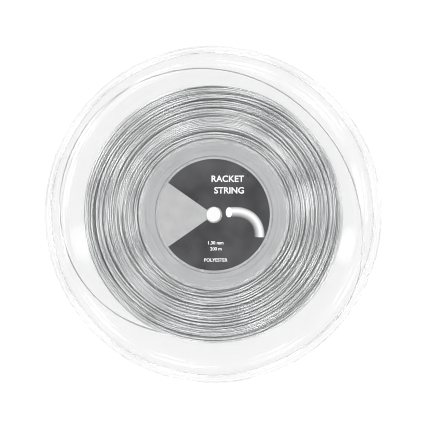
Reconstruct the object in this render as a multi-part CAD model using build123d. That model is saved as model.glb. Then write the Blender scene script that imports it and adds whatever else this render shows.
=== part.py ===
from build123d import *
import math
import os

# A 200 m reel of 1.30 mm racket string, lying on its rear rim.
# Millimetres. +Z is the reel's axis, z = 0 is the plane of the rear rim, and +Y is the top
# of the label.

# Driving dimensions
rim_radius = 135.0
reel_width = 30.0
wall = 1.6
bore_radius = 6.0
drum_radius = 60.5
step_radius = 122.2
winding_gap = 20.0
string_diameter = 1.3

# Heights on a flange are measured outwards from the reel's middle plane.
middle = reel_width / 2
rim_height = reel_width / 2
disc_inner = winding_gap / 2
disc_draft = 0.45
bend_rise = 0.35
step_rise = 0.8
band_draft = 0.4
hub_rise = 0.8
recess_depth = 0.5
lip_width = 1.7

# Label, its recess and the step round the hub face
label_radius = 44.8
label_hole_radius = 6.6
label_thickness = 0.25
recess_radius = 46.6
hub_radius = 61.2
hub_step = 0.4
collar_radius = 70.5
bend_radius = 116.5
soft_bend = 40.0

# Drum
drum_wall = 1.8
socket_clearance = 0.2
end_clearance = 0.1
web_thickness = 1.6
bead_radius = 53.6
bead_width = 1.6
bead_height = 1.2
tube_wall = 2.5
rib_thickness = 1.4
rib_reach = 43.0
rib_tip_height = 3.0
rib_root_height = 9.0

# Snap tabs that hold the flanges on the drum
tab_count = 6
tab_first_angle = 18.0
tab_width = 6.0
tab_thickness = 1.4
tab_radius = 58.9
barb_depth = 0.8
barb_height = 0.6
slot_clearance = 0.2

# String slots, thumb notch and anchor hole
string_slot_length = 8.0
string_slot_width = 2.6
exit_slot = (125.3, -19.1)
end_slot = (129.7, -34.9)
notch_angle = -21.4
notch_length = 4.4
notch_depth = 1.3
anchor_angle = 205.0
anchor_height = -5.0
anchor_hole_radius = 1.1
knot_radius = 1.9

# Winding
winding_inner = 60.8
winding_outer = 104.0
winding_half_width = 9.6
winding_crown = 0.9

# The loose outer turn: angle in degrees, radius and height of the string's centre line.
# It leaves the winding at the lower left, lies on the rear flange over the top, climbs on
# the right to the exit slot, runs on the front flange and ends inside the second slot.
tail_route = [
    (250.0, 104.9, 9.2),
    (236.0, 111.0, 7.8),
    (219.0, 118.2, 6.4),
    (202.0, 123.5, 5.6),
    (185.0, 126.7, 4.8),
    (168.0, 127.9, 4.3),
    (151.0, 128.5, 4.3),
    (134.0, 127.2, 4.6),
    (117.0, 125.0, 5.4),
    (99.0, 122.3, 5.6),
    (81.0, 119.2, 5.5),
    (63.0, 116.4, 5.4),
    (46.0, 115.3, 5.7),
    (30.0, 116.2, 7.4),
    (15.0, 118.0, 11.2),
    (2.0, 119.9, 15.6),
    (-7.5, 122.0, 20.2),
    (-13.5, 123.7, 23.8),
    (-17.2, 124.8, 25.6),
    (-20.8, 125.9, 29.42),
    (-25.0, 127.2, 29.25),
    (-29.5, 128.3, 29.25),
    (-33.4, 129.3, 29.42),
    (-37.2, 130.1, 25.4),
    (-40.6, 130.4, 23.9),
]


def at_angle(shape, angle):
    return Rotation(0, 0, angle) * shape


def on_circle(radius, angle, height):
    turn = math.radians(angle)
    return (radius * math.cos(turn), radius * math.sin(turn), height)


def revolved(outline, radii):
    profile = make_face(FilletPolyline(*outline, radius=radii, close=True))
    return revolve(Plane.XZ * profile, Axis.Z)


def ring(inner, outer, low, high):
    return Pos(0, 0, low) * extrude(Circle(outer) - Circle(inner), high - low)


def flange_disc():
    """One clear moulding, inner faces down, with its height measured from the middle plane."""
    disc_outer = disc_inner + wall
    bend_inner = disc_inner + disc_draft
    step_inner = bend_inner + bend_rise
    band_inner = step_inner + step_rise
    band_outer = band_inner + wall
    socket_floor = disc_inner + hub_rise
    hub_face = socket_floor + wall
    recess_face = hub_face - recess_depth
    recess_inner = socket_floor - recess_depth
    socket_radius = drum_radius + socket_clearance
    band_end = rim_radius - lip_width - 0.9
    corners = [
        (bore_radius, recess_inner, 0.0),
        (bore_radius, recess_face, 0.0),
        (recess_radius, recess_face, 0.15),
        (recess_radius + 0.2, hub_face, 0.2),
        (hub_radius, hub_face, 0.2),
        (hub_radius + 0.4, hub_face - hub_step, 0.2),
        (collar_radius, disc_outer, soft_bend),
        (bend_radius, bend_inner + wall, soft_bend),
        (step_radius - 0.7, step_inner + wall, 1.0),
        (step_radius + 0.8, band_outer, 1.2),
        (band_end, band_outer + band_draft, 0.5),
        (rim_radius - lip_width, rim_height, 0.3),
        (rim_radius, rim_height, 0.5),
        (rim_radius, band_inner + 1.0, 0.6),
        (rim_radius - 1.5, band_inner + band_draft, 0.6),
        (step_radius + 1.4, band_inner, 0.9),
        (step_radius - 0.1, step_inner, 0.9),
        (bend_radius, bend_inner, soft_bend),
        (socket_radius, disc_inner, 0.2),
        (socket_radius, socket_floor, 0.0),
        (recess_radius + 0.9, socket_floor, 0.3),
        (recess_radius + 0.3, recess_inner, 0.3),
    ]
    return revolved([corner[:2] for corner in corners], [corner[2] for corner in corners])


def tab_slot():
    inner = tab_radius - barb_depth - slot_clearance
    outer = tab_radius + tab_thickness + slot_clearance
    width = tab_width + 2 * slot_clearance
    return Pos((inner + outer) / 2, 0, rim_height) * Box(outer - inner, width, reel_width / 2)


def string_slot(radius, angle):
    cutter = extrude(SlotOverall(string_slot_length, string_slot_width, rotation=90), reel_width)
    return at_angle(Pos(radius, 0, 0) * cutter, angle)


def thumb_notch():
    sagitta_radius = (notch_length**2 / 4 + notch_depth**2) / (2 * notch_depth)
    centre = rim_radius - notch_depth + sagitta_radius
    cutter = Pos(centre, 0, 0) * extrude(Circle(sagitta_radius), reel_width)
    return at_angle(cutter, notch_angle)


def flange():
    part = flange_disc()
    for index in range(tab_count):
        part -= at_angle(tab_slot(), tab_first_angle + index * 360 / tab_count)
    part -= string_slot(*exit_slot)
    part -= string_slot(*end_slot)
    part -= thumb_notch()
    return part


def snap_tab():
    """One front tab at angle 0: a springy leg with an inward barb over the hub face."""
    root = disc_inner - 1.0
    barb_under = disc_inner + hub_rise + wall + 0.05
    top = barb_under + barb_height
    outer = tab_radius + tab_thickness
    outline = Polyline(
        (tab_radius, root),
        (outer, root),
        (outer, top),
        (tab_radius, top),
        (tab_radius - barb_depth, barb_under + 0.15),
        (tab_radius - barb_depth, barb_under),
        (tab_radius, barb_under),
        close=True,
    )
    return extrude(Plane.XZ * make_face(outline), tab_width / 2, both=True)


def drum_rib():
    """One rib on the front side of the web at angle 0."""
    tube_outer = bore_radius + tube_wall
    face = web_thickness / 2
    outline = Polyline(
        (tube_outer - 0.5, 0),
        (rib_reach, 0),
        (rib_reach, face + rib_tip_height),
        (tube_outer + 3, rib_root_height),
        (tube_outer - 0.5, rib_root_height),
        close=True,
    )
    return extrude(Plane.XZ * make_face(outline), rib_thickness / 2, both=True)


def drum():
    end = disc_inner + hub_rise - end_clearance
    tube_end = disc_inner + hub_rise - recess_depth - end_clearance
    bead_top = web_thickness / 2 + bead_height
    part = ring(drum_radius - drum_wall, drum_radius, -end, end)
    part += ring(bore_radius, bore_radius + tube_wall, -tube_end, tube_end)
    part += ring(bore_radius, drum_radius - drum_wall / 2, -web_thickness / 2, web_thickness / 2)
    part += ring(bead_radius - bead_width / 2, bead_radius + bead_width / 2, -bead_top, bead_top)
    for index in range(tab_count):
        turn = tab_first_angle + index * 360 / tab_count
        part += at_angle(snap_tab(), turn)
        part += Rotation(180, 0, 0) * at_angle(snap_tab(), turn)
        rib_turn = turn + 180 / tab_count
        part += at_angle(drum_rib(), rib_turn)
        part += Rotation(180, 0, 0) * at_angle(drum_rib(), rib_turn)
    hole = Rotation(0, 90, 0) * Cylinder(anchor_hole_radius, 4 * drum_wall)
    part -= at_angle(Pos(drum_radius, 0, anchor_height) * hole, anchor_angle)
    return part


def label():
    """The front label, with its back on the recess of the flange."""
    face = disc_inner + hub_rise + wall - recess_depth
    return ring(label_hole_radius, label_radius, face, face + label_thickness)


def string_winding():
    """The closed outer shape of all the wound turns, slightly crowned outside."""
    half = winding_half_width
    profile = make_face(
        [
            Line((winding_inner, -half), (winding_inner, half)),
            Line((winding_inner, half), (winding_outer - winding_crown, half)),
            ThreePointArc(
                (winding_outer - winding_crown, half),
                (winding_outer, 0),
                (winding_outer - winding_crown, -half),
            ),
            Line((winding_outer - winding_crown, -half), (winding_inner, -half)),
        ]
    )
    return revolve(Plane.XZ * profile, Axis.Z)


def string_anchor():
    """The string's inner end: it goes in through the drum wall and ends in a knot."""
    knot_centre = drum_radius - drum_wall - knot_radius - 0.1
    outside = winding_inner - 0.1
    run = Rotation(0, 90, 0) * Cylinder(string_diameter / 2, outside - knot_centre)
    part = Pos((outside + knot_centre) / 2, 0, anchor_height) * run
    part += Pos(knot_centre, 0, anchor_height) * Sphere(knot_radius)
    return at_angle(part, anchor_angle)


def corner_radii(points):
    """Each corner's arc takes 0.45 of its shorter run."""
    radii = []
    for before, corner, after in zip(points, points[1:], points[2:]):
        first = Vector(*corner) - Vector(*before)
        second = Vector(*after) - Vector(*corner)
        half_turn = math.radians(first.get_angle(second) / 2)
        radii.append(0.45 * min(first.length, second.length) / math.tan(half_turn))
    return radii


def string_tail():
    points = [on_circle(radius, angle, height) for angle, radius, height in tail_route]
    radii = corner_radii(points)
    print("string_tail corner radii", [round(radius, 1) for radius in radii])
    path = FilletPolyline(*points, radius=radii)
    part = sweep(Plane(origin=path @ 0, z_dir=path % 0) * Circle(string_diameter / 2), path)
    section = math.pi * string_diameter**2 / 4
    print("string_tail length", round(path.length, 1))
    print("string_tail volume", round(part.volume, 1), "section times length", round(section * path.length, 1))
    return part


def from_middle(shape):
    return Pos(0, 0, middle) * shape


def turned_over(shape):
    return Rotation(180, 0, 0) * shape


front_flange = flange()
front_label = label()
nodes = {
    "front_flange": from_middle(front_flange),
    "rear_flange": from_middle(turned_over(front_flange)),
    "drum": from_middle(drum()),
    "front_label": from_middle(front_label),
    "rear_label": from_middle(turned_over(front_label)),
    "string_winding": from_middle(string_winding()),
    "string_anchor": from_middle(string_anchor()),
    "string_tail": string_tail(),
}

os.makedirs("parts", exist_ok=True)
for name, shape in nodes.items():
    export_step(shape, f"parts/{name}.step")
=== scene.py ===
import math

import bmesh
import bpy
import numpy as np
from mathutils import Matrix, Vector


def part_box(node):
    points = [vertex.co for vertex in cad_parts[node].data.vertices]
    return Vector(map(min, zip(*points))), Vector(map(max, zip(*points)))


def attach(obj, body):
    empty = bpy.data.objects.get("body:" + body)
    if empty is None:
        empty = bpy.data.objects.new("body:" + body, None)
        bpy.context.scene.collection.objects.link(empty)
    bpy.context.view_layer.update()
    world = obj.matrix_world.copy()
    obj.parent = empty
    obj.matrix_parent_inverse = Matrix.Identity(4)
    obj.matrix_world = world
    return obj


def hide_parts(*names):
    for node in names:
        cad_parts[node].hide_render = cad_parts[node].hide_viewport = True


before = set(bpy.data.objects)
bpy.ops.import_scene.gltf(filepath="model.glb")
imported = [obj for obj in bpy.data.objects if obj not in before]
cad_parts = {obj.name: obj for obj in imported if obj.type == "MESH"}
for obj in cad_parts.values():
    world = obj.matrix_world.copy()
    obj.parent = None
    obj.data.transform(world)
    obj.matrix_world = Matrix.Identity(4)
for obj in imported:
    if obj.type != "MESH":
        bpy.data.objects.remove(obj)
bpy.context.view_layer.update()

MM = 0.001

# ---------------------------------------------------------------- sizes
rim_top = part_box("front_flange")[1].z
label_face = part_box("front_label")[1].z
drum_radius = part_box("drum")[1].x
wound_low, wound_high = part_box("string_winding")
middle = (wound_low.z + wound_high.z) / 2
wound_half_width = (wound_high.z - wound_low.z) / 2

string_diameter = 1.3 * MM
string_length = 200.0
loose_length = 0.62  # the part of it that is not wound

# ---------------------------------------------------------------- camera
camera_height = 900 * MM  # above the rim
camera_offset = (-26 * MM, 16 * MM)
aim = Vector((0.7 * MM, -0.1 * MM, rim_top))


def looking(place, target):
    """A rotation that looks from place to target, with +Y upwards in the picture."""
    back = (Vector(place) - Vector(target)).normalized()
    right = Vector((0, 1, 0)).cross(back).normalized()
    return Matrix((right, back.cross(right), back)).transposed().to_quaternion()


def make_camera():
    data = bpy.data.cameras.new("camera")
    data.sensor_width = 36.0
    data.lens = 94.4
    camera = bpy.data.objects.new("camera", data)
    camera.location = (*camera_offset, rim_top + camera_height)
    camera.rotation_mode = "QUATERNION"
    camera.rotation_quaternion = looking(camera.location, aim)
    bpy.context.scene.collection.objects.link(camera)
    bpy.context.scene.camera = camera


make_camera()

# ---------------------------------------------------------------- materials
# Radii at which the clear plastic changes its tone: rings of painted shade at the hub's edge and round
# the label, and the frosted rim.
HUB_EDGE = 61.3 * MM
LABEL_RING = 47.0 * MM
FROST_STARTS = 130.8 * MM
FROST_FULL = 131.6 * MM
# Distances from the middle plane between which the drum's wall ends take on painted shade, a darker
# tone.
WALL_END_SHADE_STARTS = 10.5 * MM
WALL_END_SHADE_FULL = 10.65 * MM


def grey(value):
    return (value, value, value)


def new_material(name):
    material = bpy.data.materials.new(name)
    material.use_nodes = True
    tree = material.node_tree
    return material, tree, tree.nodes["Principled BSDF"]


def add_node(tree, kind, **settings):
    """A new node, with its properties and its unlinked sockets set by name."""
    node = tree.nodes.new(kind)
    for name, value in settings.items():
        if hasattr(node, name):
            setattr(node, name, value)
        else:
            node.inputs[name.replace("_", " ")].default_value = value
    return node


def feed(tree, socket, value):
    """Links another node's output to a socket, or sets a plain value on it."""
    if isinstance(value, bpy.types.NodeSocket):
        tree.links.new(value, socket)
    else:
        socket.default_value = value


def object_noise(tree, scale, detail=3.0, roughness=0.5):
    coordinates = add_node(tree, "ShaderNodeTexCoord")
    noise = add_node(tree, "ShaderNodeTexNoise", Scale=scale, Detail=detail, Roughness=roughness)
    tree.links.new(coordinates.outputs["Object"], noise.inputs["Vector"])
    return noise.outputs["Fac"]


def spread(tree, value, low, high, source_low=0.3, source_high=0.7):
    """Maps a value to the range low to high. Most noise lies in the default source range."""
    node = add_node(
        tree, "ShaderNodeMapRange",
        From_Min=source_low, From_Max=source_high, To_Min=low, To_Max=high,
    )
    tree.links.new(value, node.inputs["Value"])
    return node.outputs["Result"]


def mixed(tree, factor, first, second):
    """A colour from first to second. Each is another node's output or three numbers."""
    node = add_node(tree, "ShaderNodeMix", data_type="RGBA")
    tree.links.new(factor, node.inputs["Factor"])
    sockets = [socket for socket in node.inputs if socket.type == "RGBA"]
    for socket, colour in zip(sockets, (first, second)):
        feed(tree, socket, (*colour, 1) if isinstance(colour, tuple) else colour)
    return [socket for socket in node.outputs if socket.type == "RGBA"][0]


def calculated(tree, operation, *values):
    """The result of a calculation. Each value is another node's output or a number."""
    node = add_node(tree, "ShaderNodeMath", operation=operation)
    for socket, value in zip(node.inputs, values):
        feed(tree, socket, value)
    return node.outputs[0]


def coordinate(tree, kind, axis):
    coordinates = add_node(tree, "ShaderNodeTexCoord")
    parts = add_node(tree, "ShaderNodeSeparateXYZ")
    tree.links.new(coordinates.outputs[kind], parts.inputs[0])
    return parts.outputs[axis]


def from_axis(tree):
    """How far the point is from the reel's axis."""
    coordinates = add_node(tree, "ShaderNodeTexCoord")
    flat = add_node(tree, "ShaderNodeVectorMath", operation="MULTIPLY")
    tree.links.new(coordinates.outputs["Object"], flat.inputs[0])
    flat.inputs[1].default_value = (1, 1, 0)
    length = add_node(tree, "ShaderNodeVectorMath", operation="LENGTH")
    tree.links.new(flat.outputs["Vector"], length.inputs[0])
    return length.outputs["Value"]


def distance_to(tree, value, centre):
    return calculated(tree, "ABSOLUTE", calculated(tree, "SUBTRACT", value, centre))


def dress(tree, shader, tone, roughness, height, strength, distance):
    """Gives a shader its tone and its roughness, and a slight bump from a height."""
    tree.links.new(tone, shader.inputs["Base Color"])
    tree.links.new(roughness, shader.inputs["Roughness"])
    node = add_node(tree, "ShaderNodeBump", Strength=strength, Distance=distance)
    tree.links.new(height, node.inputs["Height"])
    tree.links.new(node.outputs["Normal"], shader.inputs["Normal"])


def clear_plastic():
    """Clear polystyrene. Lamp light passes it unbent, so that what is behind it is lit. It is tinted
    darker at the hub's edge and round the label: painted shade, dark rings that stand in for the shade
    at the drum's wall and in the label's recess. The rim is softly frosted."""
    material, tree, shader = new_material("clear_plastic")
    shader.inputs["Transmission Weight"].default_value = 1.0
    shader.inputs["IOR"].default_value = 1.5
    radius = from_axis(tree)
    # Painted shade: dark rings at the hub's edge and round the label stand in for the shade at the
    # drum's wall and the label's recess wall.
    hub_edge_painted_shade = spread(tree, distance_to(tree, radius, HUB_EDGE), 1, 0, 0.45 * MM, 0.75 * MM)
    label_ring_painted_shade = spread(tree, distance_to(tree, radius, LABEL_RING), 1, 0, 0.4 * MM, 0.7 * MM)
    rim = spread(tree, radius, 0, 1, FROST_STARTS, FROST_FULL)
    tint = mixed(tree, object_noise(tree, 40.0), grey(0.963), grey(0.978))
    tint = mixed(tree, hub_edge_painted_shade, tint, grey(0.642))
    tint = mixed(tree, label_ring_painted_shade, tint, grey(0.72))
    tint = mixed(tree, rim, tint, grey(0.915))
    gloss = spread(tree, object_noise(tree, 160.0, 4.0), 0.03, 0.065)
    roughness = calculated(tree, "MULTIPLY_ADD", rim, 0.18, gloss)
    dress(tree, shader, tint, roughness, object_noise(tree, 28.0, 1.0), strength=0.06, distance=0.0004)
    passing = add_node(tree, "ShaderNodeBsdfTransparent")
    passing.inputs["Color"].default_value = (*grey(0.935), 1)
    ray = add_node(tree, "ShaderNodeLightPath")
    mix = add_node(tree, "ShaderNodeMixShader")
    output = tree.nodes["Material Output"]
    tree.links.new(ray.outputs["Is Shadow Ray"], mix.inputs[0])
    tree.links.new(shader.outputs[0], mix.inputs[1])
    tree.links.new(passing.outputs[0], mix.inputs[2])
    tree.links.new(mix.outputs[0], output.inputs["Surface"])
    return material


def milky_plastic():
    material, tree, shader = new_material("milky_plastic")
    shader.inputs["Subsurface Weight"].default_value = 0.15
    shader.inputs["Subsurface Scale"].default_value = 0.003
    shader.inputs["Subsurface Radius"].default_value = (1, 1, 1)
    from_middle = distance_to(tree, coordinate(tree, "Object", "Z"), middle)
    # Painted shade: the drum's wall ends are toned darker, standing in for the shade at the drum's
    # rim, so that their lit tops do not show brighter than the web.
    wall_end_painted_shade = spread(tree, from_middle, 0, 1, WALL_END_SHADE_STARTS, WALL_END_SHADE_FULL)
    tone = mixed(tree, object_noise(tree, 45.0), (0.62, 0.625, 0.63), (0.69, 0.695, 0.70))
    tone = mixed(tree, wall_end_painted_shade, tone, (0.34, 0.342, 0.345))
    roughness = spread(tree, object_noise(tree, 120.0), 0.38, 0.5)
    dress(tree, shader, tone, roughness, object_noise(tree, 600.0), strength=0.08, distance=0.0002)
    return material


def string_plastic():
    """Silver-white polyester monofilament."""
    material, tree, shader = new_material("string_monofilament")
    shader.inputs["Metallic"].default_value = 0.9
    tone = mixed(tree, object_noise(tree, 30.0, 2.0), (0.62, 0.625, 0.63), (0.72, 0.725, 0.73))
    roughness = spread(tree, object_noise(tree, 50.0, 2.0), 0.29, 0.36)
    dress(tree, shader, tone, roughness, object_noise(tree, 90.0, 2.0), strength=0.03, distance=0.0001)
    return material


def label_film():
    """Charcoal laminate with a plain light sector on the left, its apex at the centre hole."""
    material, tree, shader = new_material("label_film")
    half_height = calculated(tree, "MULTIPLY", coordinate(tree, "Object", "X"), -0.70)
    from_level = calculated(tree, "ABSOLUTE", coordinate(tree, "Object", "Y"))
    inside = calculated(tree, "SUBTRACT", half_height, from_level)
    sector = spread(tree, inside, 0, 1, 0.0, 0.0002)
    dark_cloud = spread(tree, object_noise(tree, 40.0, 2.0), 0, 1)
    dark = mixed(tree, dark_cloud, (0.045, 0.045, 0.048), (0.085, 0.085, 0.088))
    light_cloud = spread(tree, object_noise(tree, 120.0), 0, 1)
    light = mixed(tree, light_cloud, (0.38, 0.38, 0.385), (0.43, 0.43, 0.435))
    tone = mixed(tree, sector, dark, light)
    roughness = spread(tree, object_noise(tree, 90.0), 0.26, 0.4)
    dress(tree, shader, tone, roughness, object_noise(tree, 35.0, 2.0), strength=0.12, distance=0.0003)
    return material


def dress_as_print(tree, shader, tone):
    roughness = spread(tree, object_noise(tree, 200.0), 0.35, 0.5)
    dress(tree, shader, tone, roughness, object_noise(tree, 900.0), strength=0.05, distance=0.00005)


def print_ink():
    material, tree, shader = new_material("label_print")
    dress_as_print(tree, shader, mixed(tree, object_noise(tree, 300.0), grey(0.78), grey(0.88)))
    return material


def printed_string():
    """Shaded across its width, so that a flat band looks round."""
    material, tree, shader = new_material("label_drawing")
    ramp = add_node(tree, "ShaderNodeValToRGB")
    stops = ramp.color_ramp.elements
    stops[0].position, stops[0].color = 0.0, (*grey(0.10), 1)
    stops[1].position, stops[1].color = 1.0, (*grey(0.22), 1)
    for position, tone in ((0.3, 0.42), (0.62, 0.85), (0.85, 0.55)):
        stop = stops.new(position)
        stop.color = (*grey(tone), 1)
    tree.links.new(coordinate(tree, "UV", "Y"), ramp.inputs["Fac"])
    dress_as_print(tree, shader, ramp.outputs["Color"])
    return material


clear = clear_plastic()
milky = milky_plastic()
monofilament = string_plastic()
film = label_film()
ink = print_ink()
drawing = printed_string()

for node_name, material in (("drum", milky), ("front_label", film), ("rear_label", film)):
    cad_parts[node_name].data.materials.clear()
    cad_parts[node_name].data.materials.append(material)


def add_piece(name, mesh, material, node_name):
    """Puts a mesh in the scene on the reel's body, in place of a CAD node if one is named."""
    mesh.materials.clear()
    mesh.materials.append(material)
    piece = bpy.data.objects.new(name, mesh)
    bpy.context.scene.collection.objects.link(piece)
    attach(piece, "root")
    if node_name:
        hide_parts(node_name)
    return piece


# ---------------------------------------------------------------- flanges
# Here and in the flange's cutters, lengths are in millimetres and angles in degrees, and
# heights are from the middle plane.
# Radius, height and corner radius of the section, as the CAD has them.
flange_corners = [
    (6.0, 10.3, 0.0),
    (6.0, 11.9, 0.0),
    (46.6, 11.9, 0.15),
    (46.8, 12.4, 0.2),
    (61.2, 12.4, 0.2),
    (61.6, 12.0, 0.2),
    (70.5, 11.6, 40.0),
    (116.5, 12.05, 40.0),
    (121.5, 12.4, 1.0),
    (123.0, 13.2, 1.2),
    (132.4, 13.6, 0.5),
    (133.3, 15.0, 0.3),
    (135.0, 15.0, 0.5),
    (135.0, 12.6, 0.6),
    (133.5, 12.0, 0.6),
    (123.6, 11.6, 0.9),
    (122.1, 10.8, 0.9),
    (116.5, 10.45, 40.0),
    (60.7, 10.0, 0.2),
    (60.7, 10.8, 0.0),
    (47.5, 10.8, 0.3),
    (46.9, 10.3, 0.3),
]
GENTLE_BEND = 10  # a corner radius above this gets more points
LONG_RUN = 1.5  # a straight run longer than this is held by extra points
HOLD = 0.3  # how far the outer extra points are from the run's ends
SEGMENTS = 360
SHARP_EDGE = 32  # an edge bent by more than this is shaded as a sharp one

RIM_RADIUS = 135.0
TAB_SLOT_INNER = 57.9
TAB_SLOT_OUTER = 60.5
TAB_SLOT_HALF_WIDTH = 3.2
TAB_SLOT_ANGLES = range(18, 378, 60)
STRING_SLOTS = ((125.3, -19.1), (129.7, -34.9))  # radius and angle
SLOT_END_RADIUS = 1.3
SLOT_END_OFFSET = 2.7
SLOT_END_STEPS = 12
NOTCH_WIDTH = 4.4
NOTCH_DEPTH = 1.3
NOTCH_ANGLE = -21.4
CUT_LOW = 5  # the cutters start below the flange and end above it
CUT_HIGH = 25


def rounded_outline(corners):
    """The closed outline with its corners rounded and its long runs held straight."""
    outline = []
    for index, (radius, height, bend) in enumerate(corners):
        here = np.array((radius, height))
        before = np.array(corners[index - 1][:2]) - here
        after = np.array(corners[(index + 1) % len(corners)][:2]) - here
        before /= np.linalg.norm(before)
        after /= np.linalg.norm(after)
        if bend == 0:
            outline.append(here)
            continue
        half = (math.pi - math.acos(np.clip(before @ after, -1, 1))) / 2
        reach = bend * math.tan(half)
        inwards = (before + after) / np.linalg.norm(before + after)
        centre = here + inwards * bend / math.cos(half)
        first = here + before * reach - centre
        last = here + after * reach - centre
        steps = 8 if bend > GENTLE_BEND else 6
        for step in range(steps + 1):
            share = step / steps
            between = first * (1 - share) + last * share
            outline.append(centre + between / np.linalg.norm(between) * bend)
    held = []
    for here, there in zip(outline, outline[1:] + outline[:1]):
        held.append(here)
        run = np.linalg.norm(there - here)
        if run > LONG_RUN:
            for share in (HOLD / run, 0.5, 1 - HOLD / run):
                held.append(here * (1 - share) + there * share)
    return held


def lathe(mesh, outline, segments):
    grid = []
    for segment in range(segments):
        turn = 2 * math.pi * segment / segments
        c, s = math.cos(turn), math.sin(turn)
        grid.append([mesh.verts.new((r * c, r * s, z)) for r, z in outline])
    count = len(outline)
    for segment in range(segments):
        here, there = grid[segment], grid[(segment + 1) % segments]
        for index in range(count):
            after = (index + 1) % count
            mesh.faces.new((here[index], here[after], there[after], there[index]))


def prism(mesh, outline, low, high):
    bottom = [mesh.verts.new((x, y, low)) for x, y in outline]
    top = [mesh.verts.new((x, y, high)) for x, y in outline]
    mesh.faces.new(bottom[::-1])
    mesh.faces.new(top)
    for index in range(len(outline)):
        after = (index + 1) % len(outline)
        mesh.faces.new((bottom[index], bottom[after], top[after], top[index]))


def turned(points, angle):
    c, s = math.cos(math.radians(angle)), math.sin(math.radians(angle))
    return [(x * c - y * s, x * s + y * c) for x, y in points]


def slot_outline(radius):
    """A slot with round ends, its length along the tangent."""
    points = []
    for end, start in ((1, 0), (-1, 180)):
        for step in range(SLOT_END_STEPS + 1):
            turn = math.radians(start + 180 * step / SLOT_END_STEPS)
            points.append((
                radius + SLOT_END_RADIUS * math.cos(turn),
                end * SLOT_END_OFFSET + SLOT_END_RADIUS * math.sin(turn),
            ))
    return points


def notch_outline():
    """The circle that cuts a notch of the stated width and depth into the rim."""
    bend = (NOTCH_WIDTH**2 / 4 + NOTCH_DEPTH**2) / (2 * NOTCH_DEPTH)
    centre = RIM_RADIUS - NOTCH_DEPTH + bend
    turns = [math.radians(3 * step) for step in range(120)]
    return [(centre + bend * math.cos(turn), bend * math.sin(turn)) for turn in turns]


def add_cutters(mesh):
    tab = [
        (TAB_SLOT_INNER, -TAB_SLOT_HALF_WIDTH),
        (TAB_SLOT_OUTER, -TAB_SLOT_HALF_WIDTH),
        (TAB_SLOT_OUTER, TAB_SLOT_HALF_WIDTH),
        (TAB_SLOT_INNER, TAB_SLOT_HALF_WIDTH),
    ]
    for angle in TAB_SLOT_ANGLES:
        prism(mesh, turned(tab, angle), CUT_LOW, CUT_HIGH)
    for radius, angle in STRING_SLOTS:
        prism(mesh, turned(slot_outline(radius), angle), CUT_LOW, CUT_HIGH)
    prism(mesh, turned(notch_outline(), NOTCH_ANGLE), CUT_LOW, CUT_HIGH)


def mesh_object(name, fill):
    work = bmesh.new()
    fill(work)
    bmesh.ops.recalc_face_normals(work, faces=work.faces)
    mesh = bpy.data.meshes.new(name)
    work.to_mesh(mesh)
    work.free()
    made = bpy.data.objects.new(name, mesh)
    bpy.context.scene.collection.objects.link(made)
    return made


def make_flanges():
    outline = rounded_outline(flange_corners)
    blank = mesh_object("flange_blank", lambda mesh: lathe(mesh, outline, SEGMENTS))
    cutter = mesh_object("flange_cutter", add_cutters)
    cut = blank.modifiers.new("slots", "BOOLEAN")
    cut.operation = "DIFFERENCE"
    cut.solver = "EXACT"
    cut.object = cutter
    evaluated = blank.evaluated_get(bpy.context.evaluated_depsgraph_get())
    flange = bpy.data.meshes.new_from_object(evaluated)
    bpy.data.objects.remove(blank)
    bpy.data.objects.remove(cutter)
    flange.transform(Matrix.Scale(MM, 4))
    rear = flange.copy()
    rear.transform(Matrix.Rotation(math.pi, 4, "X"))
    for mesh, name in ((flange, "front_flange"), (rear, "rear_flange")):
        mesh.transform(Matrix.Translation((0, 0, middle)))
        mesh.polygons.foreach_set("use_smooth", np.ones(len(mesh.polygons), bool))
        mesh.set_sharp_from_angle(angle=math.radians(SHARP_EDGE))
        add_piece(f"{name}_moulded", mesh, clear, name)


make_flanges()

# ---------------------------------------------------------------- label print
# Text, its right edge or its middle if it is centred, its base, its letters' height and its
# greatest width in millimetres, and whether it is centred.
label_lines = [
    ("RACKET", 24.0, 26.3, 5.2, 40.0, False),
    ("STRING", 24.0, 17.0, 5.2, 34.0, False),
    ("1.30 mm", 1.5, -23.8, 2.7, 18.0, True),
    ("200 m", 1.5, -28.6, 2.7, 14.0, True),
    ("POLYESTER", 1.5, -37.6, 2.7, 22.0, True),
]
# The drawing's middle line as a curve's four points, and its sizes, in millimetres.
DRAWN_LINE = ((12.0, 2.0), (26.0, 4.0), (37.0, -3.0), (36.5, -18.0))
DRAWN_HALF_WIDTH = 4.0
DRAWN_END_HALF_DEPTH = 2.6
DRAWN_STEPS = 32
DRAWN_END_STEPS = 40
LETTER_WEIGHT = 0.018  # how much the letters are thickened, as a share of their size
PRINT_LIFT = 0.00003  # print above the film, so that the two do not share a plane


def text_mesh(text, place, base, cap_height, widest, centred):
    """One line of letters as a flat mesh in millimetres, fitted to a height and a width."""
    curve = bpy.data.curves.new("letters", "FONT")
    curve.body = text
    curve.resolution_u = 6
    curve.offset = LETTER_WEIGHT
    made = bpy.data.objects.new("letters", curve)
    bpy.context.scene.collection.objects.link(made)
    evaluated = made.evaluated_get(bpy.context.evaluated_depsgraph_get())
    mesh = bpy.data.meshes.new_from_object(evaluated)
    bpy.data.objects.remove(made)
    corners = np.array([v.co[:2] for v in mesh.vertices])
    low, high = corners.min(axis=0), corners.max(axis=0)
    scale = cap_height / (high[1] - low[1])
    across = min(scale, widest / (high[0] - low[0]))
    width = across * (high[0] - low[0])
    left = place - width / 2 if centred else place - width
    mesh.transform(
        Matrix.Translation((left, base, 0))
        @ Matrix.Diagonal((across, scale, 1, 1))
        @ Matrix.Translation((-low[0], -low[1], 0))
    )
    return mesh


def make_letters():
    work = bmesh.new()
    for line in label_lines:
        work.from_mesh(text_mesh(*line))
    mesh = bpy.data.meshes.new("letters")
    work.to_mesh(mesh)
    work.free()
    mesh.transform(Matrix.Scale(MM, 4))
    return mesh


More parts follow.
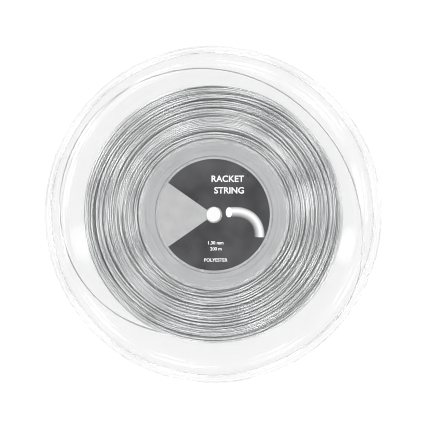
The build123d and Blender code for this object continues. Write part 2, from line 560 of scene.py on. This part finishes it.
def make_drawing():
    """A short piece of string of one width, drawn with its cut end towards the reader."""
    work = bmesh.new()
    uv = work.loops.layers.uv.new("UVMap")
    a, b, c, d = [Vector(place) for place in DRAWN_LINE]
    rows = []
    for step in range(DRAWN_STEPS + 1):
        t = step / DRAWN_STEPS
        s = 1 - t
        place = a * s**3 + b * 3 * s * s * t + c * 3 * s * t * t + d * t**3
        along = (b - a) * s * s + (c - b) * 2 * s * t + (d - c) * t * t
        side = Vector((-along.y, along.x)).normalized() * DRAWN_HALF_WIDTH
        low = work.verts.new((*(place - side), 0))
        high = work.verts.new((*(place + side), 0))
        rows.append((low, high, t))
    for (low, high, start), (next_low, next_high, end) in zip(rows, rows[1:]):
        face = work.faces.new((low, next_low, next_high, high))
        for loop, place in zip(face.loops, ((start, 0), (end, 0), (end, 1), (start, 1))):
            loop[uv].uv = place
    rim = []
    for step in range(DRAWN_END_STEPS):
        turn = 2 * math.pi * step / DRAWN_END_STEPS
        x = a.x + DRAWN_END_HALF_DEPTH * math.cos(turn)
        y = a.y + DRAWN_HALF_WIDTH * math.sin(turn)
        rim.append(work.verts.new((x, y, 0.01)))
    # The cut face takes the lightest tone of the drawing's ramp.
    face = work.faces.new(rim)
    for loop in face.loops:
        loop[uv].uv = (0.5, 0.62)
    mesh = bpy.data.meshes.new("drawing")
    work.to_mesh(mesh)
    work.free()
    mesh.transform(Matrix.Scale(MM, 4))
    return mesh


def make_print():
    lift = label_face - middle + PRINT_LIFT
    for name, mesh, material in (
        ("letters", make_letters(), ink),
        ("drawing", make_drawing(), drawing),
    ):
        mesh.transform(Matrix.Translation((0, 0, lift)))
        rear = mesh.copy()
        rear.transform(Matrix.Rotation(math.pi, 4, "X"))
        for side, made in (("front", mesh), ("rear", rear)):
            made.transform(Matrix.Translation((0, 0, middle)))
            add_piece(f"{side}_label_{name}", made, material, None)


make_print()

# ---------------------------------------------------------------- the loose outer turn
# Angle in degrees, radius and height in millimetres, as the CAD route has them.
tail_route = [
    (250.0, 104.9, 9.2),
    (236.0, 111.0, 7.8),
    (219.0, 118.2, 6.4),
    (202.0, 123.5, 5.6),
    (185.0, 126.7, 4.8),
    (168.0, 127.9, 4.3),
    (151.0, 128.5, 4.3),
    (134.0, 127.2, 4.6),
    (117.0, 125.0, 5.4),
    (99.0, 122.3, 5.6),
    (81.0, 119.2, 5.5),
    (63.0, 116.4, 5.4),
    (46.0, 115.3, 5.7),
    (30.0, 116.2, 7.4),
    (15.0, 118.0, 11.2),
    (2.0, 119.9, 15.6),
    (-7.5, 122.0, 20.2),
    (-13.5, 123.7, 23.8),
    (-17.2, 124.8, 25.6),
    (-20.8, 125.9, 29.42),
    (-25.0, 127.2, 29.25),
    (-29.5, 128.3, 29.25),
    (-33.4, 129.3, 29.42),
    (-37.2, 130.1, 25.4),
    (-40.6, 130.4, 23.9),
]


def on_circle(radius, angle, height):
    turn = math.radians(angle)
    return Vector((radius * math.cos(turn), radius * math.sin(turn), height))


def make_tail():
    points = [on_circle(radius, angle, height) * MM for angle, radius, height in tail_route]
    curve = bpy.data.curves.new("string_tail_curve", "CURVE")
    curve.dimensions = "3D"
    curve.bevel_depth = string_diameter / 2
    curve.bevel_resolution = 4
    curve.resolution_u = 16
    curve.use_fill_caps = True
    spline = curve.splines.new("NURBS")
    spline.points.add(len(points) - 1)
    for point, place in zip(spline.points, points):
        point.co = (*place, 1)
    spline.order_u = 3
    spline.use_endpoint_u = True
    curve.materials.append(monofilament)
    piece = bpy.data.objects.new("string_tail_loose", curve)
    bpy.context.scene.collection.objects.link(piece)
    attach(piece, "root")
    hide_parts("string_tail")
    return points[0]


tail_start = make_tail()

# ---------------------------------------------------------------- the wound turns
STATIONS = 120  # places along one turn
STEP = 2 * math.pi / STATIONS
MOST_TURNS = 460  # more than the string makes
SEED = 11
PITCH = 1.9 * string_diameter  # how far the guide moves along the axis in one turn
ANCHOR_ANGLE = 205.0
ANCHOR_HEIGHT = -5.0 * MM
EDGE = 0.3 * MM  # how far the turns may lie outside the CAD's ring of winding
PACE_CHANGE = 0.12  # how unevenly the guide moves, and over how many turns that changes
PACE_TURNS = 7
SHORTFALL = 0.10  # how far short of the limit it turns back, and how slowly that changes
SHORTFALL_TURNS = 5
WANDER = 0.05  # how far a strand wanders, in diameters, and over how many stations
WANDER_STATIONS = 24
REACH = 45  # how many of the last turns a new one can rest on
OVERLAP = 42  # stations of the turn before that are pulled taut with the new one
STIFF_REACH = 12  # stations either way over which a bend is spread
LEAD = 4  # stations either way that keep the ends smooth while a turn slides
FEEL = 0.09 * string_diameter  # how far to either side a turn feels for a groove
SLIDE = 0.08 * string_diameter  # how far it slides at a time, where its rest slopes by one
STEEPEST = 1.2  # the slope beyond which it slides no faster
STRAY = 0.8 * string_diameter  # the furthest it slides from where it is guided
SMOOTHING = 0.6  # how much of its smoothed line is mixed in at each slide
SLIDES = 40
PULLS = 100
SINK = 0.5 * MM  # the most a strand sinks towards the drum between two stations
SINK_PASSES = 40
LIFT_OFF = 24  # stations over which the last turn lifts off
TURN_PIECES = 4
TURN_SIDES = 8
KNOT_SIDES = 12

blur = np.array([1, 2, 3, 2, 1]) / 9
stiffness = np.hanning(2 * STIFF_REACH + 3)[1:-1]
stiffness /= stiffness.sum()


def resting_radius(heights, placed_heights, placed_radii):
    """The lowest radius at which a strand at these heights clears the strands already wound."""
    bare = drum_radius + string_diameter / 2
    if not len(placed_heights):
        return np.full(STATIONS, bare)
    gap = heights - placed_heights
    square = string_diameter**2 - gap * gap
    resting = np.where(square > 0, placed_radii + np.sqrt(np.maximum(square, 0)), bare)
    return np.maximum(resting.max(axis=0), bare)


def smooth_noise(rng, count, width):
    window = np.hanning(width)
    window = window / np.sqrt((window**2).sum())
    raw = rng.standard_normal(count + width)
    return np.convolve(raw, window, "same")[width // 2:width // 2 + count]


def bent_softly(line):
    start = np.full(STIFF_REACH, line[0])
    end = np.full(STIFF_REACH, line[-1])
    return np.convolve(np.concatenate([start, line, end]), stiffness, "valid")


def guided_heights(limit):
    """The height at which the traverse guides each station of each turn: to and fro at an
    uneven pace, turning back a little short of the limit, with a slight wander."""
    rng = np.random.default_rng(SEED)
    count = MOST_TURNS * STATIONS
    pace = 1 + PACE_CHANGE * smooth_noise(rng, count, PACE_TURNS * STATIONS)
    entry = 2 - (ANCHOR_HEIGHT / limit + 1)
    travel = np.cumsum(pace) * PITCH / STATIONS + entry * limit
    fold = np.abs((travel / (4 * limit)) % 1 - 0.5) * 4 - 1
    shortfall = SHORTFALL * np.abs(smooth_noise(rng, count, SHORTFALL_TURNS * STATIONS))
    wander = smooth_noise(rng, count, WANDER_STATIONS) * WANDER * string_diameter
    guided = np.clip(fold * limit * (1 - shortfall) + wander, -limit, limit)
    return guided.reshape(MOST_TURNS, STATIONS)


def slid_into_groove(guided, before, below, limit):
    """The heights of a turn after it has slid from where it is guided towards a groove."""
    place = guided.copy()
    for _ in range(SLIDES):
        up = resting_radius(np.clip(place + FEEL, -limit, limit), *below)
        down = resting_radius(np.clip(place - FEEL, -limit, limit), *below)
        place -= SLIDE * np.clip((up - down) / (2 * FEEL), -STEEPEST, STEEPEST)
        place = guided + np.clip(place - guided, -STRAY, STRAY)
        line = np.concatenate([before, place, np.repeat(place[-1], LEAD)])
        smoothed = np.convolve(line, blur, "same")[LEAD:-LEAD]
        place = np.clip((1 - SMOOTHING) * place + SMOOTHING * smoothed, -limit, limit)
    return place


def pulled_taut(line):
    """The radii of a stretch of string after it has been pulled straight across valleys, sinks
    nowhere faster than SINK and bends softly."""
    for _ in range(PULLS):
        chord = 2 * line[:-2] * line[2:] / (line[:-2] + line[2:]) * math.cos(STEP)
        line[1:-1] = np.maximum(line[1:-1], chord)
    for _ in range(SINK_PASSES):
        line[1:-1] = np.maximum(line[1:-1], np.maximum(line[:-2], line[2:]) - SINK)
    return bent_softly(np.maximum(line, bent_softly(line)))


def end_of_last(values, turn, count, level):
    """The last stations of the turn before this one, or a level lead-in to the first turn."""
    return values[turn - 1, -count:] if turn else np.full(count, level)


def wind(target_length):
    """Lays turn after turn on the drum. Each turn slides a little into the groove below it, is
    pulled taut over what it crosses, bends only softly and bridges deep valleys. The last
    stretch of the turn before it is pulled taut with it."""
    limit = wound_half_width + EDGE - string_diameter / 2
    guided = guided_heights(limit)
    heights = np.zeros_like(guided)
    radii = np.zeros_like(guided)
    length = 0
    turn = 0
    while length < target_length:
        first = max(0, turn - REACH)
        below = heights[first:turn], radii[first:turn]
        before = end_of_last(heights, turn, LEAD, guided[turn, 0])
        place = slid_into_groove(guided[turn], before, below, limit)
        led = end_of_last(heights, turn, OVERLAP, place[0])
        place = bent_softly(np.concatenate([led, place]))[OVERLAP:]
        radius = resting_radius(place, *below)
        kept = end_of_last(radii, turn, OVERLAP, radius[0])
        line = pulled_taut(np.concatenate([kept, radius]))
        if turn:
            radii[turn - 1, STIFF_REACH - OVERLAP:] = line[STIFF_REACH:OVERLAP]
        radius = line[OVERLAP:]
        heights[turn] = place
        radii[turn] = radius
        length += radius.sum() * STEP
        turn += 1
    return heights[:turn], radii[:turn]


def tube_mesh(name, points, sides):
    """A closed tube of string along an array of points."""
    points = np.asarray(points, float)
    count = len(points)
    along = np.gradient(points, axis=0)
    along /= np.linalg.norm(along, axis=1)[:, None]
    up = np.array([0, 0, 1.0]) - along * along[:, 2:3]
    up /= np.linalg.norm(up, axis=1)[:, None]
    side = np.cross(along, up)
    turns = np.arange(sides) * 2 * math.pi / sides
    ring = (
        up[:, None, :] * np.cos(turns)[None, :, None]
        + side[:, None, :] * np.sin(turns)[None, :, None]
    )
    vertices = (points[:, None, :] + ring * string_diameter / 2).reshape(-1, 3)
    row = np.arange(count - 1)[:, None] * sides
    here = np.arange(sides)[None, :]
    after = (here + 1) % sides
    quads = np.stack([row + here, row + after, row + sides + after, row + sides + here], axis=2)
    faces = quads.reshape(-1, 4)
    start_cap = np.arange(sides)[::-1]
    end_cap = (count - 1) * sides + np.arange(sides)
    corners = np.concatenate([faces.ravel(), start_cap, end_cap])
    starts = np.concatenate([np.arange(len(faces) + 1) * 4, [len(faces) * 4 + sides]])
    mesh = bpy.data.meshes.new(name)
    mesh.vertices.add(len(vertices))
    mesh.vertices.foreach_set("co", vertices.ravel())
    mesh.loops.add(len(corners))
    mesh.loops.foreach_set("vertex_index", corners.astype(np.int32))
    mesh.polygons.add(len(starts))
    mesh.polygons.foreach_set("loop_start", starts.astype(np.int32))
    mesh.polygons.foreach_set("use_smooth", np.ones(len(starts), bool))
    mesh.update(calc_edges=True)
    mesh.validate()
    return mesh


def make_winding():
    """The wound turns, cut back to where the loose turn starts. Returns their first point."""
    heights, radii = wind(string_length - loose_length)
    leaving = tail_route[0][0]
    count = heights.size - int(round((leaving - ANCHOR_ANGLE) / math.degrees(STEP))) + 1
    radius, height = radii.ravel()[:count], heights.ravel()[:count]
    angle = math.radians(ANCHOR_ANGLE) - np.arange(count) * STEP
    # The last stretch lifts off the winding and runs out to the loose turn's first point.
    share = np.clip((np.arange(count) - count + 1 + LIFT_OFF) / LIFT_OFF, 0, 1)
    share = share * share * (3 - 2 * share)
    radius = radius + share * (math.hypot(tail_start.x, tail_start.y) - radius)
    height = height + share * (tail_start.z - middle - height)
    points = np.stack([radius * np.cos(angle), radius * np.sin(angle), height + middle], axis=1)
    edges = np.linspace(0, count - 1, TURN_PIECES + 1).astype(int)
    for index in range(TURN_PIECES):
        part = points[edges[index]:edges[index + 1] + 1]
        mesh = tube_mesh(f"turns_{index + 1}", part, TURN_SIDES)
        name = f"string_turns_{index + 1}"
        add_piece(name, mesh, monofilament, "string_winding")
    return points[0]


def make_anchor(first_point):
    """The inner end goes in through the drum wall and is tied in an overhand knot."""
    # In millimetres from the axis and the middle plane, with x along the anchor's angle.
    level = ANCHOR_HEIGHT / MM
    entry = [(61.1, -0.4, level), (60.9, 0.0, level), (60.0, 0.0, level), (58.9, 0.0, level)]
    knot_place = 56.7
    knot_size = 0.42
    knot_starts = 1.1
    knot_opening = 0.5
    knot_steps = 60
    knot = []
    for step in range(knot_steps + 1):
        t = knot_starts + (2 * math.pi - knot_opening) * step / knot_steps
        knot.append((
            knot_place + knot_size * (math.sin(t) + 2 * math.sin(2 * t)),
            knot_size * (math.cos(t) - 2 * math.cos(2 * t)),
            level - knot_size * math.sin(3 * t),
        ))
    inside = entry + knot
    flat = turned([(x, y) for x, y, z in inside], ANCHOR_ANGLE)
    heights = [z * MM + middle for x, y, z in inside]
    points = [(x * MM, y * MM, height) for (x, y), height in zip(flat, heights)]
    mesh = tube_mesh("anchor", [tuple(first_point)] + points, KNOT_SIDES)
    add_piece("string_anchor_knot", mesh, monofilament, "string_anchor")


make_anchor(make_winding())

# ---------------------------------------------------------------- studio
FLOOR_HALF_SIZE = 6.0
FLOOR_DROP = 0.0003  # the gap between the reel and the floor
LAMP_AZIMUTHS = range(6, 366, 36)
LAMP_DISTANCE = 1.2
LAMP_HEIGHT = 0.80
LAMP_WIDTH = 0.42
LAMP_DEPTH = 0.36
LAMP_RADIANCE = 8.2

# Small lamps that mirror in the front flange. For each: the angle in degrees and the radius
# where its mirror image shows, how long the image is along the radius and along the tangent,
# in millimetres, and its radiance.
reflected_panels = [
    (168, 75, 14, 22, 2.4),
    (11, 75, 14, 22, 2.4),
    (192, 110, 15, 28, 1.2),
    (347, 110, 15, 28, 1.2),
    *((angle, 73.5, 3.5, 15, 3.0) for angle in (34, 46, 58, 70, 110, 122, 134, 146)),
]
disc_slope = 0.45 / 46  # the front disc's rise over its run, from the flange's section


def make_floor():
    """A pale light table, bright enough that the reel casts no shadow on it."""
    size = FLOOR_HALF_SIZE
    corners = [(-size, -size, 0), (size, -size, 0), (size, size, 0), (-size, size, 0)]
    mesh = bpy.data.meshes.new("floor")
    mesh.from_pydata(corners, [], [(0, 1, 2, 3)])
    floor = bpy.data.objects.new("floor", mesh)
    floor.location.z = -FLOOR_DROP
    bpy.context.scene.collection.objects.link(floor)
    material, tree, shader = new_material("floor_paper")
    tone = mixed(tree, object_noise(tree, 3.0), grey(0.08), grey(0.10))
    tree.links.new(tone, shader.inputs["Base Color"])
    shader.inputs["Roughness"].default_value = 0.9
    shader.inputs["Specular IOR Level"].default_value = 0.1
    shader.inputs["Emission Color"].default_value = (1, 1, 1, 1)
    shader.inputs["Emission Strength"].default_value = 0.96
    mesh.materials.append(material)


def softbox(name, place, target, width, depth, radiance):
    data = bpy.data.lights.new(name, "AREA")
    data.shape = "RECTANGLE"
    data.size = width
    data.size_y = depth
    data.energy = math.pi * width * depth * radiance
    light = bpy.data.objects.new(name, data)
    light.location = place
    light.rotation_mode = "QUATERNION"
    light.rotation_quaternion = looking(place, target)
    bpy.context.scene.collection.objects.link(light)
    return light


def reflected_panel(name, angle, radius, deep, wide, radiance):
    """A downward lamp at the camera's height, placed where the flange's disc mirrors it."""
    outwards = on_circle(1, angle, 0)
    inset = 2 * disc_slope * camera_height
    place = 2 * radius * MM * outwards - Vector((*camera_offset, 0)) - inset * outwards
    place.z = rim_top + camera_height
    straight_down = place - Vector((0, 0, 1))
    panel = softbox(name, place, straight_down, 2 * deep * MM, 2 * wide * MM, radiance)
    panel.data.shape = "ELLIPSE"
    facing = Matrix.Rotation(math.radians(angle), 3, "Z")
    panel.rotation_quaternion = facing.to_quaternion()


def make_studio():
    """A sky that is light at the horizon and dark overhead, a ring of lamps, and the lamps that
    mirror in the flange."""
    world = bpy.data.worlds.new("studio")
    bpy.context.scene.world = world
    world.use_nodes = True
    tree = world.node_tree
    background = tree.nodes["Background"]
    background.inputs["Strength"].default_value = 1.0
    height = spread(tree, coordinate(tree, "Generated", "Z"), 0, 1, 0.3, 0.88)
    tree.links.new(mixed(tree, height, grey(0.80), grey(0.08)), background.inputs["Color"])
    for index, azimuth in enumerate(LAMP_AZIMUTHS):
        place = on_circle(LAMP_DISTANCE, azimuth, LAMP_HEIGHT)
        softbox(f"softbox_{index}", place, (0, 0, 0), LAMP_WIDTH, LAMP_DEPTH, LAMP_RADIANCE)
    for index, panel in enumerate(reflected_panels):
        reflected_panel(f"panel_{index}", *panel)
    bpy.context.scene.view_settings.view_transform = "Standard"
    bpy.context.scene.cycles.filter_width = 1.0


make_floor()
make_studio()
